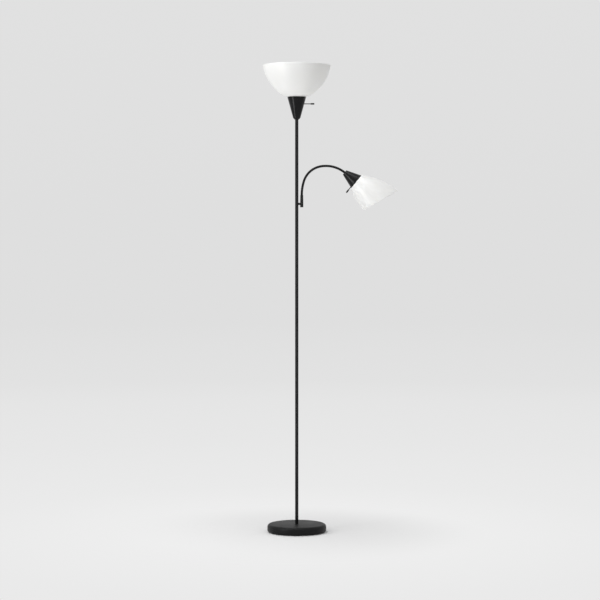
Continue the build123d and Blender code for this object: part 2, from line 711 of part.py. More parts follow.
def shade_shell(foot, start, rim, arc_radius, edge, beyond):
    """Even wall from a flat foot to a rounded lip, cut off where the solid beyond begins."""
    centre = RadiusArc(start, rim, -arc_radius).arc_center
    along = (Vector(*start) - Vector(*foot)).normalized()
    inside = Vector(foot[0], foot[1]) + Vector(-along.Y, 1 + along.X) * (SHADE_WALL / (1 + along.X))
    high = rim[1] + 4 * SHADE_WALL
    shell = shade_form(Vector(*foot), along, centre, arc_radius, high, edge) - beyond
    shell -= shade_form(inside, along, centre, arc_radius - SHADE_WALL, high, edge - SHADE_WALL)
    shell -= rod(BARREL_GAP_RADIUS, foot[1], inside.Y)
    lip = shell.faces().filter_by(GeomType.PLANE).sort_by(Axis.Z)[-1]
    return fillet(lip.edges(), SHADE_LIP)


def bowl_shade():
    """Deep open bowl whose floor slopes up a little past its seat."""
    seat = UPLIGHT_CONE_LENGTH
    rim = seat + BOWL_DEPTH
    beyond = rod(2 * BOWL_RADIUS, rim, rim + BOWL_DEPTH)
    foot, start = (BOWL_FOOT_RADIUS, seat), (BOWL_FLOOR_RADIUS, seat + BOWL_FLOOR_RISE)
    return shade_shell(foot, start, (BOWL_RADIUS, rim), BOWL_ARC_RADIUS, BOWL_FLOOR_EDGE, beyond)


def reading_shade():
    """Bell whose rim is cut on the slant: its short side is on the switch's side."""
    seat = READING_CONE_LENGTH
    rim = seat + BELL_LENGTH
    slant = math.degrees(math.atan2(BELL_LENGTH - BELL_SHORT_SIDE, 2 * BELL_RADIUS))
    middle = (rim + seat + BELL_SHORT_SIDE) / 2
    beyond = Pos(0, 0, middle) * Rotation(0, slant, 0) * rod(4 * BELL_RADIUS, 0, BELL_LENGTH)
    foot, start = (BELL_SEAT_RADIUS / 2, seat), (BELL_SEAT_RADIUS, seat)
    return shade_shell(foot, start, (BELL_RADIUS, rim), BELL_ARC_RADIUS, BELL_SEAT_EDGE, beyond)


# ---- All the pieces ------------------------------------------------------------------------
def base_pieces():
    return {
        "base_cover": base_cover(),
        "base_weight": base_weight(),
        "floor_plate": floor_plate(),
        "floor_plate_screws": floor_plate_screws(),
        "floor_pad": floor_pad(),
        "base_stud": base_stud(),
        "base_washer": base_washer(),
        "base_nut": base_nut(),
        "cord_grommet": cord_grommet(),
    }


def pole_pieces():
    tubes = {f"pole_tube_{number}": pole_tube(number) for number in range(1, POLE_SECTIONS + 1)}
    return {**tubes, "pole_inserts": pole_inserts(), "pole_studs": pole_studs()}


def arm_pieces():
    return {
        "arm_insert": arm_insert(),
        "arm_nipple": arm_nipple(),
        "arm_collar": arm_collar(),
        "neck_ferrule": neck_ferrule(),
        "ferrule_plug": ferrule_plug(),
    }


def neck_pieces():
    return {f"neck_link_{number:02d}": neck_link(number) for number in range(NECK_HINGES + 1)}


def head_pieces(name, frame, seat, switch_drop, shell_drop, knob_tip, bulb):
    """What both heads have alike, moved from the drawing position to the head's place."""
    foot = bulb_foot(seat, shell_drop)
    pieces = {
        "stem_nut": stem_nut(),
        "lampholder": lampholder(seat, switch_drop, shell_drop),
        "screw_shell": screw_shell(seat, shell_drop),
        "centre_contact": centre_contact(seat, shell_drop),
        "shade_ring": shade_ring(seat),
        "switch_cam": switch_cam(seat, switch_drop),
        "switch_shaft": switch_shaft(seat, switch_drop, knob_tip),
        "switch_knob": switch_knob(seat, switch_drop, knob_tip),
        "bulb_cap": bulb_cap(foot),
        "bulb_glass": bulb_glass(foot, *bulb),
    }
    return {f"{name}_{piece}": frame * solid for piece, solid in pieces.items()}


def uplight_pieces():
    frame = uplight_frame()
    own = {
        "uplight_stem": frame * uplight_stem(),
        "uplight_cone": frame * uplight_cone(),
        "uplight_bowl": frame * bowl_shade(),
    }
    bulb = UPLIGHT_BULB_RADIUS, UPLIGHT_BULB_LENGTH
    sizes = UPLIGHT_CONE_LENGTH, UPLIGHT_SWITCH_DROP, UPLIGHT_SHELL_DROP, UPLIGHT_KNOB_TIP
    return {**own, **head_pieces("uplight", frame, *sizes, bulb)}


def reading_pieces():
    frame = reading_frame()
    own = {
        "reading_stem": frame * reading_stem(),
        "reading_cone": frame * reading_cone(),
        "reading_shade": frame * reading_shade(),
    }
    bulb = READING_BULB_RADIUS, READING_BULB_LENGTH
    sizes = READING_CONE_LENGTH, READING_SWITCH_DROP, READING_SHELL_DROP, READING_KNOB_TIP
    return {**own, **head_pieces("reading", frame, *sizes, bulb)}


def write(pieces):
    """Write each piece, or group of like pieces, to its own file."""
    os.makedirs("parts", exist_ok=True)
    for name, piece in pieces.items():
        group = piece if isinstance(piece, list) else [piece]
        solids = [solid for member in group for solid in member.solids()]
        shape = solids[0] if len(solids) == 1 else Compound(children=solids)
        export_step(shape, f"parts/{name}.step")


write({**base_pieces(), **pole_pieces(), **arm_pieces(), **neck_pieces(), **uplight_pieces(), **reading_pieces()})
for hinge in range(1, NECK_HINGES + 1):
    spot, bearing = neck_station(hinge_distance(hinge))
    print(f"hinge {hinge}: x {spot.X:.4f} z {spot.Z:.4f} heading {math.degrees(bearing):.4f}")
end, bearing = neck_station(NECK_LENGTH)
print(f"reading cone foot: x {end.X:.4f} z {end.Z:.4f} heading {math.degrees(bearing):.4f}")
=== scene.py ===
import json
import math
from typing import Callable, NamedTuple

import bmesh
import bpy
from bpy.props import FloatProperty, FloatVectorProperty, IntProperty, PointerProperty
from mathutils import Matrix, Vector

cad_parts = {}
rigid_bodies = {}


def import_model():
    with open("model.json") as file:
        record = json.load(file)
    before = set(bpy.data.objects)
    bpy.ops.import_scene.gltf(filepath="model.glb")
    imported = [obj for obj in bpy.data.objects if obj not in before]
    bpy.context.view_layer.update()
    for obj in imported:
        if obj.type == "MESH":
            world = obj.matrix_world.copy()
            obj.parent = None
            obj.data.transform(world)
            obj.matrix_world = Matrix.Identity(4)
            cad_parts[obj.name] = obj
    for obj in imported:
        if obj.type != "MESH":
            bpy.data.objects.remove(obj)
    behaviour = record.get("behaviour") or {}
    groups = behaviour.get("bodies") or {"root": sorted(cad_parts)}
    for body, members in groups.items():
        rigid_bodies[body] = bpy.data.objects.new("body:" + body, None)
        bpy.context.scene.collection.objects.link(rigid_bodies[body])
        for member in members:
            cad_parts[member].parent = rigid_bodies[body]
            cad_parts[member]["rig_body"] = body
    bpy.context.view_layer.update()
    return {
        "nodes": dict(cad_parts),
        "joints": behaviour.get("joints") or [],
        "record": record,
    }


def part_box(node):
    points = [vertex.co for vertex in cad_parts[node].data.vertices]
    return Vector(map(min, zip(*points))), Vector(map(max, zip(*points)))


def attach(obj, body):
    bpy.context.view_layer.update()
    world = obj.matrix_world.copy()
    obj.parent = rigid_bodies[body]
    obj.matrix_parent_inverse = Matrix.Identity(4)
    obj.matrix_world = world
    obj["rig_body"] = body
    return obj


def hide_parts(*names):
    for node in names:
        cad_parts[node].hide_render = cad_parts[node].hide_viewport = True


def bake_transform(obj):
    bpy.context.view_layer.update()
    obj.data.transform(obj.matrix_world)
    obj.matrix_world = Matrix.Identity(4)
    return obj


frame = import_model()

bl_info = {
    "name": "Torchiere with reading light",
    "version": (1, 0, 0),
    "blender": (4, 5, 0),
    "location": "3D View > Sidebar > Torchiere",
    "description": "Builds the lamp's visible pieces on its CAD frame, with their finishes and a studio",
    "category": "Add Mesh",
}

MM = 0.001
UP = Vector((0, 0, 1))


def linear(code):
    """Linear colour of an sRGB hex value such as #f4f4f1."""
    parts = [int(code[i : i + 2], 16) / 255 for i in (1, 3, 5)]
    return [p / 12.92 if p <= 0.04045 else ((p + 0.055) / 1.055) ** 2.4 for p in parts]


# ---- What a user would change -------------------------------------------------------------
class LampColours(bpy.types.PropertyGroup):
    """Colours of the lamp's finishes."""

    coat: FloatVectorProperty(
        name="Powder coat", description="Colour of the base, the pole and the arm",
        subtype="COLOR", size=3, min=0, max=1, default=linear("#0d0d0e"),
    )
    moulding: FloatVectorProperty(
        name="Mouldings", description="Colour of the cones and the knobs",
        subtype="COLOR", size=3, min=0, max=1, default=linear("#0b0b0c"),
    )
    shade: FloatVectorProperty(
        name="Shades", description="Colour of the bowl and the bell",
        subtype="COLOR", size=3, min=0, max=1, default=linear("#f3f3f1"),
    )


class LampSizes(bpy.types.PropertyGroup):
    """Sizes of details that the CAD frame doesn't settle."""

    rib_pitch: FloatProperty(
        name="Rib pitch", description="Distance between two ribs of the gooseneck",
        unit="LENGTH", default=2.03 * MM, min=1 * MM, max=5 * MM,
    )
    rib_depth: FloatProperty(
        name="Rib depth", description="Depth of the valleys between the ribs",
        unit="LENGTH", default=0.4 * MM, min=0, max=1 * MM,
    )
    shade_wall: FloatProperty(
        name="Shade wall", description="Thickness of both shades",
        unit="LENGTH", default=2.2 * MM, min=1 * MM, max=4 * MM,
    )
    shade_lip: FloatProperty(
        name="Shade lip", description="Rounding of the shades' open rims",
        unit="LENGTH", default=0.9 * MM, min=0, max=2 * MM,
    )
    turning_steps: IntProperty(
        name="Turning steps", description="Flats round each turned piece", default=128, min=24, max=256,
    )


class StudioSettings(bpy.types.PropertyGroup):
    """Light and background of the studio."""

    key_power: FloatProperty(
        name="Key light", description="Power of the tall, narrow light at the front left", default=22, min=0,
    )
    fill_power: FloatProperty(
        name="Fill light", description="Power of the weak light at the front right", default=8, min=0,
    )
    top_power: FloatProperty(
        name="Top light", description="Power of the light above the lamp", default=70, min=0,
    )
    room: FloatProperty(
        name="Room light", description="Strength of the even light from all round",
        default=0.46, min=0, max=1,
    )
    background: FloatVectorProperty(
        name="Background", description="Colour of the paper behind the lamp",
        subtype="COLOR", size=3, min=0, max=1, default=linear("#dfdfdf"),
    )
    floor: FloatVectorProperty(
        name="Floor", description="Colour of the paper under the lamp",
        subtype="COLOR", size=3, min=0, max=1, default=linear("#eeeeee"),
    )


# ---- Meshes -------------------------------------------------------------------------------
def wire(points, closed=False):
    """Polyline in the XZ plane through (radius, height, rounding) points, in millimetres."""
    bm = bmesh.new()
    verts = [bm.verts.new((radius * MM, 0, height * MM)) for radius, height, rounding in points]
    for one, two in zip(verts, verts[1:] + (verts[:1] if closed else [])):
        bm.edges.new((one, two))
    for vert, (radius, height, rounding) in zip(verts, points):
        if rounding:
            round_corner(bm, vert, rounding * MM)
    return bm


def round_corner(bm, vert, radius, segments=6):
    """Replace a corner of a wire by an arc of a given radius."""
    one, two = (edge.other_vert(vert).co - vert.co for edge in vert.link_edges)
    reach = radius / math.tan(one.angle(two) / 2)
    bmesh.ops.bevel(
        bm, geom=[vert], offset=reach, segments=segments, profile=0.5, affect="VERTICES", material=-1
    )


def lathe(bm, steps=None):
    """Turn a wire about the Z axis."""
    sizes = bpy.context.scene.lamp_sizes
    bmesh.ops.spin(
        bm, geom=bm.verts[:] + bm.edges[:], cent=(0, 0, 0), axis=UP, angle=math.tau,
        steps=steps or sizes.turning_steps, use_merge=True,
    )
    bmesh.ops.remove_doubles(bm, verts=bm.verts, dist=MM / 1000)
    bmesh.ops.recalc_face_normals(bm, faces=bm.faces)
    return bm


def turned(points, closed=False, steps=None):
    """Solid turned from an outline of (radius, height, rounding) points."""
    return lathe(wire(points, closed), steps)


def settle(name, bm, material, replaced, place=None, sharp=35):
    """Make a finished piece of a mesh, in its place, standing for some CAD nodes."""
    if place:
        bmesh.ops.transform(bm, matrix=place, verts=bm.verts)
    mesh = bpy.data.meshes.new(name)
    bm.to_mesh(mesh)
    bm.free()
    mesh.shade_smooth()
    mesh.set_sharp_from_angle(angle=math.radians(sharp))
    mesh.materials.append(material)
    piece = bpy.data.objects.new(name, mesh)
    bpy.context.scene.collection.objects.link(piece)
    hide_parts(*replaced)
    return piece


def fit(node, bm, material, place=None):
    """Make the finished piece that stands for one CAD node, and carry it on that node's body."""
    piece = settle(f"{node}_fine", bm, material, [node], place)
    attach(piece, frame["nodes"][node]["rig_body"])


def top_of(node):
    """Height of a CAD node's upper end, in millimetres."""
    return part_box(node)[1].z / MM


def foot_of(node):
    """Height of a CAD node's lower end, in millimetres."""
    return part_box(node)[0].z / MM


def radius_of(node):
    """Reach of a node in Y, in millimetres: a turned piece's radius, however it leans in the XZ plane."""
    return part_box(node)[1].y / MM


# ---- Materials ----------------------------------------------------------------------------
def add(tree, kind, values=None, links=None, **settings):
    """Add a node with its settings, socket values and incoming links."""
    made = tree.nodes.new(kind)
    for name, value in settings.items():
        setattr(made, name, value)
    for socket, value in (values or {}).items():
        made.inputs[socket].default_value = value
    for socket, source in (links or {}).items():
        tree.links.new(source, made.inputs[socket])
    return made


def new_material(name):
    """Material with an emptied node tree."""
    material = bpy.data.materials.new(name)
    material.use_nodes = True
    material.node_tree.nodes.clear()
    return material


def colour4(colour):
    """A colour with the fourth number that node sockets take."""
    return (*colour, 1)


def grained(name, colours, rough, grain_mm, height_mm, cloud_mm=40.0, **shader):
    """A solid finish, made once: a fine grain in relief, and slow clouds in its colour and roughness."""
    if name in bpy.data.materials:
        return bpy.data.materials[name]
    material = new_material(name)
    tree = material.node_tree
    place = add(tree, "ShaderNodeTexCoord").outputs["Object"]
    grain = add(tree, "ShaderNodeTexNoise", {"Scale": 1000 / grain_mm, "Detail": 3}, {"Vector": place})
    cloud = add(tree, "ShaderNodeTexNoise", {"Scale": 1000 / cloud_mm, "Detail": 4}, {"Vector": place})
    ramp = add(tree, "ShaderNodeValToRGB", links={"Fac": cloud.outputs["Fac"]})
    ramp.color_ramp.elements[0].position, ramp.color_ramp.elements[1].position = 0.35, 0.65
    ramp.color_ramp.elements[0].color = colour4(colours[0])
    ramp.color_ramp.elements[1].color = colour4(colours[1])
    gloss = add(
        tree, "ShaderNodeMapRange",
        {"From Min": 0.3, "From Max": 0.7, "To Min": rough[0], "To Max": rough[1]},
        {"Value": cloud.outputs["Fac"]},
    )
    relief = add(
        tree, "ShaderNodeBump",
        {"Strength": 1.0, "Distance": height_mm * MM},
        {"Height": grain.outputs["Fac"]},
    )
    surface = add(
        tree, "ShaderNodeBsdfPrincipled", shader,
        {
            "Base Color": ramp.outputs["Color"],
            "Roughness": gloss.outputs["Result"],
            "Normal": relief.outputs["Normal"],
        },
    )
    add(tree, "ShaderNodeOutputMaterial", links={"Surface": surface.outputs["BSDF"]})
    return material


def lighter(colour, share):
    """A colour moved towards white by a share."""
    return [c + (1 - c) * share for c in colour]


def powder_coat():
    """Powder coat baked on pressed steel: dull satin, with the fine orange peel of melted powder."""
    coat = bpy.context.scene.lamp_colours.coat
    return grained(
        "Powder_coated_steel", (coat, lighter(coat, 0.002)), rough=(0.44, 0.52),
        grain_mm=1.4, height_mm=0.006,
        **{"Specular IOR Level": 0.16},
    )


def baked_enamel():
    """Enamel baked on drawn steel tube: glossier than the powder coat, with faint runs along the tube."""
    coat = bpy.context.scene.lamp_colours.coat
    return grained(
        "Baked_enamel_on_steel", (coat, lighter(coat, 0.002)), rough=(0.22, 0.28),
        grain_mm=1.1, height_mm=0.002,
        **{"Specular IOR Level": 0.21},
    )


def gooseneck_coat():
    """Lacquered steel gooseneck: duller than the pole, because its wire is wound, not drawn smooth."""
    coat = bpy.context.scene.lamp_colours.coat
    return grained(
        "Lacquered_gooseneck_steel", (coat, lighter(coat, 0.004)), rough=(0.42, 0.5),
        grain_mm=0.6, height_mm=0.004,
        **{"Specular IOR Level": 0.17},
    )


def moulded_abs():
    """ABS moulded in a polished tool: satin, nearly smooth, with slow flow clouds."""
    moulding = bpy.context.scene.lamp_colours.moulding
    return grained(
        "Moulded_ABS", (moulding, lighter(moulding, 0.003)), rough=(0.22, 0.28),
        grain_mm=0.9, height_mm=0.002,
        **{"Specular IOR Level": 0.18},
    )


def moulded_nylon():
    """Nylon moulded in an eroded tool: dull, with a sandy texture that the fingers feel."""
    moulding = bpy.context.scene.lamp_colours.moulding
    return grained(
        "Moulded_nylon", (moulding, lighter(moulding, 0.008)), rough=(0.5, 0.62),
        grain_mm=0.35, height_mm=0.02, cloud_mm=12,
    )


def moulded_phenolic():
    """Phenolic resin, pressed hot: hard, half dull, with specks of its filler."""
    return grained(
        "Pressed_phenolic", (linear("#161515"), linear("#232120")), rough=(0.42, 0.55),
        grain_mm=0.5, height_mm=0.01, cloud_mm=1.2,
    )


def opal_acrylic():
    """Opal acrylic, moulded: milky, satin outside, and light passes a few millimetres into it."""
    shade = bpy.context.scene.lamp_colours.shade
    return grained(
        "Opal_acrylic", (shade, lighter(shade, 0.15)), rough=(0.30, 0.36),
        grain_mm=2.5, height_mm=0.006, cloud_mm=90,
        **{
            "Subsurface Weight": 0.35, "Subsurface Radius": (1, 0.97, 0.92),
            "Subsurface Scale": 4 * MM, "IOR": 1.49,
        },
    )


def zinc_plate():
    """Zinc-plated steel: grey metal with faint yellowish and bluish clouds from its passivation."""
    return grained(
        "Zinc_plated_steel", (linear("#a9aaa6"), linear("#b7bcc4")), rough=(0.28, 0.42),
        grain_mm=0.5, height_mm=0.008, cloud_mm=6, Metallic=1.0,
    )


def cast_iron():
    """Grey iron from a sand mould: dark, rough and pitted at the size of the sand."""
    return grained(
        "Sand_cast_iron", (linear("#3c3b3a"), linear("#55524f")), rough=(0.55, 0.75),
        grain_mm=1.2, height_mm=0.25, cloud_mm=15, Metallic=0.6,
    )


def closed_cell_foam():
    """Cut polyethylene foam: dull black with small closed cells."""
    return grained(
        "Closed_cell_foam", (linear("#1b1b1b"), linear("#262626")), rough=(0.8, 0.95),
        grain_mm=0.9, height_mm=0.12, cloud_mm=8,
    )


def soft_rubber():
    """Moulded rubber: dull and slightly dusty."""
    return grained(
        "Moulded_rubber", (linear("#151515"), linear("#1f1f1e")), rough=(0.6, 0.75),
        grain_mm=0.4, height_mm=0.01, cloud_mm=5,
    )


def brass_sheet():
    """Rolled brass: warm metal with fine rolling grain and slight tarnish."""
    return grained(
        "Rolled_brass", (linear("#b8924f"), linear("#cfab68")), rough=(0.25, 0.4),
        grain_mm=0.4, height_mm=0.006, cloud_mm=7, Metallic=1.0,
    )


def aluminium_cap():
    """Rolled aluminium cap of a bulb."""
    return grained(
        "Rolled_aluminium", (linear("#b9babc"), linear("#c8c9cb")), rough=(0.3, 0.42),
        grain_mm=0.4, height_mm=0.01, cloud_mm=5, Metallic=1.0,
    )


def frosted_glass():
    """Bulb glass, frosted inside with silica: white and even, smooth and glossy outside."""
    return grained(
        "Frosted_bulb_glass", (linear("#f4f3ee"), linear("#f9f8f5")), rough=(0.12, 0.16),
        grain_mm=3.0, height_mm=0.002, cloud_mm=30,
        **{"Subsurface Weight": 0.5, "Subsurface Radius": (1, 1, 0.98), "Subsurface Scale": 3 * MM},
    )


# ---- Operators: the lamp ------------------------------------------------------------------
class TORCHIERE_OT_base(bpy.types.Operator):
    """Pressed base cover with its soft top edge and rolled-in foot."""

    bl_idname = "torchiere.base"
    bl_label = "Base"

    def execute(self, context):
        radius, low, high = radius_of("base_cover"), foot_of("base_cover"), top_of("base_cover")
        foot_round, top_round = 8.0, 11.0
        wall, lip, stud_hole = 1.6, 2.0, 4.3
        opening = radius - foot_round - lip
        cover = turned(
            [
                (opening, low, 0.3), (radius, low, foot_round), (radius, high, top_round),
                (stud_hole, high, 0), (stud_hole, high - wall, 0),
                (radius - wall, high - wall, top_round - wall),
                (radius - wall, low + wall, foot_round - wall), (opening, low + wall, 0.3),
            ],
            closed=True,
        )
        fit("base_cover", cover, powder_coat())
        return {"FINISHED"}


class TORCHIERE_OT_pole(bpy.types.Operator):
    """Pole of four tubes, whose ends are slightly rounded, so that the joints are fine lines."""

    bl_idname = "torchiere.pole"
    bl_label = "Pole"

    def execute(self, context):
        tubes, wall, end_round = 4, 0.9, 0.25
        for number in range(1, tubes + 1):
            node = f"pole_tube_{number}"
            radius, low, high = radius_of(node), foot_of(node), top_of(node)
            bore = radius - wall
            tube = turned(
                [(radius, low, end_round), (radius, high, end_round), (bore, high, 0), (bore, low, 0)],
                closed=True, steps=64,
            )
            fit(node, tube, baked_enamel())
        return {"FINISHED"}


# Middle of the ferrule's top end, where the gooseneck starts, in metres.
NECK_FOOT = (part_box("neck_ferrule")[0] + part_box("neck_ferrule")[1]) / 2
NECK_FOOT.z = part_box("neck_ferrule")[1].z


class TORCHIERE_OT_arm(bpy.types.Operator):
    """Collar on the pole, ferrule that grips the gooseneck's foot, and the plug in the ferrule."""

    bl_idname = "torchiere.arm"
    bl_label = "Arm"

    def execute(self, context):
        place = Matrix.Translation((NECK_FOOT.x, 0, 0))
        radius, foot, top = radius_of("neck_ferrule"), foot_of("neck_ferrule"), top_of("neck_ferrule")
        bore, mouth, taper = 4.75, 5.5, 22
        ferrule = turned(
            [
                (bore, foot, 0), (radius, foot, 0.5), (radius, top - taper, 20), (mouth, top, 0.3),
                (bore, top, 0),
            ],
            closed=True, steps=64,
        )
        fit("neck_ferrule", ferrule, baked_enamel(), place)
        radius, foot, top = 4.7, foot_of("ferrule_plug"), top_of("ferrule_plug")
        plug = turned([(0, foot, 0), (radius, foot, 0.6), (radius, top, 0), (0, top, 0)], steps=48)
        fit("ferrule_plug", plug, moulded_nylon(), place)
        self.collar()
        return {"FINISHED"}

    def collar(self):
        """Waisted spool from the pole to the ferrule, sunk a little into both."""
        low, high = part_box("arm_collar")
        inset, waist = 1.0, 4.1
        start, end = low.x / MM + inset, high.x / MM - inset
        radius = radius_of("arm_collar")
        spool = turned(
            [
                (0, start, 0), (radius, start, 0), (waist, (start + end) / 2, 5),
                (radius, end, 0), (0, end, 0),
            ],
            steps=64,
        )
        height = (low.z + high.z) / 2
        place = Matrix.Translation((0, 0, height)) @ Matrix.Rotation(math.pi / 2, 4, "Y")
        fit("arm_collar", spool, baked_enamel(), place)


# Bend radius and length of the gooseneck's three arcs, upwards from the ferrule, in millimetres.
NECK_ARCS = ((180.0, 55.0), (83.0, 90.0), (116.0, 99.0))
NECK_LENGTH = sum(length for radius, length in NECK_ARCS)
NECK_HINGES = [joint for joint in frame["joints"] if joint["name"].startswith("neck_")]
# Along the gooseneck, in millimetres: the first hinge, the step between hinges, how far the ends reach into
# the ferrule and the reading cone, and a reach on either side of each hinge.
FIRST_HINGE, HINGE_PITCH = 12.0, 24.4
IN_FERRULE, IN_CONE = 4.0, 3.0
BEND_REACH = HINGE_PITCH * 0.4


def neck_place(distance):
    """Matrix that carries a section from the origin to a distance along the gooseneck, in millimetres."""
    x, z, heading = NECK_FOOT.x / MM, NECK_FOOT.z / MM, math.pi / 2
    left = distance
    for radius, length in NECK_ARCS:
        step = max(0.0, min(left, length))
        x += radius * math.sin(heading)
        z -= radius * math.cos(heading)
        heading -= step / radius
        x -= radius * math.sin(heading)
        z += radius * math.cos(heading)
        left -= length
    straight = min(distance, 0.0) + max(0.0, distance - NECK_LENGTH)
    point = Vector((x + straight * math.cos(heading), 0, z + straight * math.sin(heading))) * MM
    return Matrix.Translation(point) @ Matrix.Rotation(math.pi / 2 - heading, 4, "Y")


class TORCHIERE_OT_gooseneck(bpy.types.Operator):
    """Ribbed gooseneck in ten lengths, each laid over one hinge."""

    bl_idname = "torchiere.gooseneck"
    bl_label = "Gooseneck"

    def execute(self, context):
        last = len(NECK_HINGES)
        for number, joint in enumerate(NECK_HINGES, 1):
            hinge = FIRST_HINGE + (number - 1) * HINGE_PITCH
            start = -IN_FERRULE if number == 1 else hinge - HINGE_PITCH / 2
            end = NECK_LENGTH + IN_CONE if number == last else hinge + HINGE_PITCH / 2
            nodes = [f"neck_link_{number:02d}"] + (["neck_link_00"] if number == 1 else [])
            bm = self.ribbed(start, end)
            piece = settle(
                f"gooseneck_{number:02d}", bm, gooseneck_coat(), nodes, sharp=60
            )
            ends = [neck_place(hinge + side * BEND_REACH).translation for side in (-1, 1)]
            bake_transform(piece)
        return {"FINISHED"}

    def ribbed(self, start, end):
        """A straight ribbed tube, closed at both ends, then laid along the gooseneck's line."""
        sizes = bpy.context.scene.lamp_sizes
        crest = radius_of("neck_link_05")
        shoulder, valley = crest - 0.08, crest - sizes.rib_depth / MM
        count = round((end - start) * MM / sizes.rib_pitch)
        pitch = (end - start) / count
        points = [(0, start, 0)]
        for number in range(count):
            low = start + number * pitch
            for share, radius in ((0, valley), (0.2, shoulder), (0.5, crest), (0.8, shoulder)):
                points.append((radius, low + pitch * share, 0))
        bm = turned(points + [(valley, end, 0), (0, end, 0)], steps=36)
        for vert in bm.verts:
            distance = vert.co.z
            vert.co.z = 0
            vert.co = neck_place(distance / MM) @ vert.co
        return bm


# ---- Operators: both heads ----------------------------------------------------------------
class Head(NamedTuple):
    """One light and its sizes in millimetres, drawn with its cone's foot at the origin and its axis on Z."""

    name: str
    place: Callable
    seat: float  # the cone's rim, which carries the shade
    switch_drop: float  # from the seat down to the switch's axis
    shell_rise: float  # from the seat up to the foot of the brass screw shell
    bulb_radius: float
    bulb_length: float
    knob_tip: float  # from the head's axis to the knob's end


READING_SWITCH = next(joint for joint in frame["joints"] if joint["name"] == "reading_switch_turn")
READING_SEAT, READING_SWITCH_DROP = 60.0, 6.2


def uplight_place():
    """Matrix from the drawing position to the top of the pole."""
    return Matrix.Translation((0, 0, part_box("uplight_cone")[0].z))


def reading_place():
    """Matrix from the drawing position to the reading head: Z along its axis and X towards its switch."""
    across = Vector(READING_SWITCH["axis"]).normalized()
    along = Vector((-across.z, 0, across.x))
    foot = Vector(READING_SWITCH["pos_m"]) - along * (READING_SEAT - READING_SWITCH_DROP) * MM
    turn = Matrix((across, Vector((0, 1, 0)), along)).transposed()
    return Matrix.Translation(foot) @ turn.to_4x4()


UPLIGHT = Head(
    "uplight", uplight_place, seat=88.0, switch_drop=27.0, shell_rise=-9.0,
    bulb_radius=30.0, bulb_length=108.0, knob_tip=68.0,
)
READING = Head(
    "reading", reading_place, seat=READING_SEAT, switch_drop=READING_SWITCH_DROP, shell_rise=2.0,
    bulb_radius=24.0, bulb_length=85.0, knob_tip=57.0,
)
STEM_HOLE = 6.0  # radius of the hole in both cones' feet
HOLDER_HOLE = 19.3  # radius of the hole in both shades, and of the rings' bore
CAP_FLOOR = 21  # from a bulb cap's tip up to the foot of its glass


def shadow_line(rim, length, slope):
    """Three points of the fine groove that runs round a cone below its rim."""
    below_rim, depth, half = 6.0, 0.5, 0.5
    height = length - below_rim
    surface = rim - slope * below_rim
    return [
        (surface - slope * half, height - half, 0),
        (surface - depth, height, 0),
        (surface + slope * half, height + half, 0),
    ]


class TORCHIERE_OT_cones(bpy.types.Operator):
    """Moulded cones under both shades."""

    bl_idname = "torchiere.cones"
    bl_label = "Cones"

    def execute(self, context):
        for head, outline in ((UPLIGHT, self.slender()), (READING, self.short())):
            cone = turned(outline, closed=True)
            fit(f"{head.name}_cone", cone, moulded_abs(), head.place())
        return {"FINISHED"}

    def slender(self):
        """Outline of the uplight's cone, with a shoulder at its foot and a ledge inside its rim."""
        length, rim, ledge, ledge_depth = UPLIGHT.seat, 36.5, 28.5, 4
        foot, shoulder, shoulder_height = 7.5, 13.9, 6
        inner_rim, inner_foot, floor = 33.2, 12.3, 4
        slope = (rim - shoulder) / (length - shoulder_height)
        return [
            (STEM_HOLE, 0, 0), (foot, 0, 0.7), (shoulder, shoulder_height, 6),
            *shadow_line(rim, length, slope), (rim, length, 3), (ledge, length, 0),
            (ledge, length - ledge_depth, 0), (inner_rim, length - ledge_depth, 0),
            (inner_foot, floor, 0), (STEM_HOLE, floor, 0),
        ]

    def short(self):
        """Outline of the reading light's cone."""
        length, rim, foot = READING.seat, 32.2, 10.9
        inner_rim, inner_foot, floor = 30.0, 10.1, 4
        return [
            (STEM_HOLE, 0, 0), (foot, 0, 0.8), *shadow_line(rim, length, (rim - foot) / length),
            (rim, length, 0.8), (inner_rim, length, 0), (inner_foot, floor, 0), (STEM_HOLE, floor, 0),
        ]


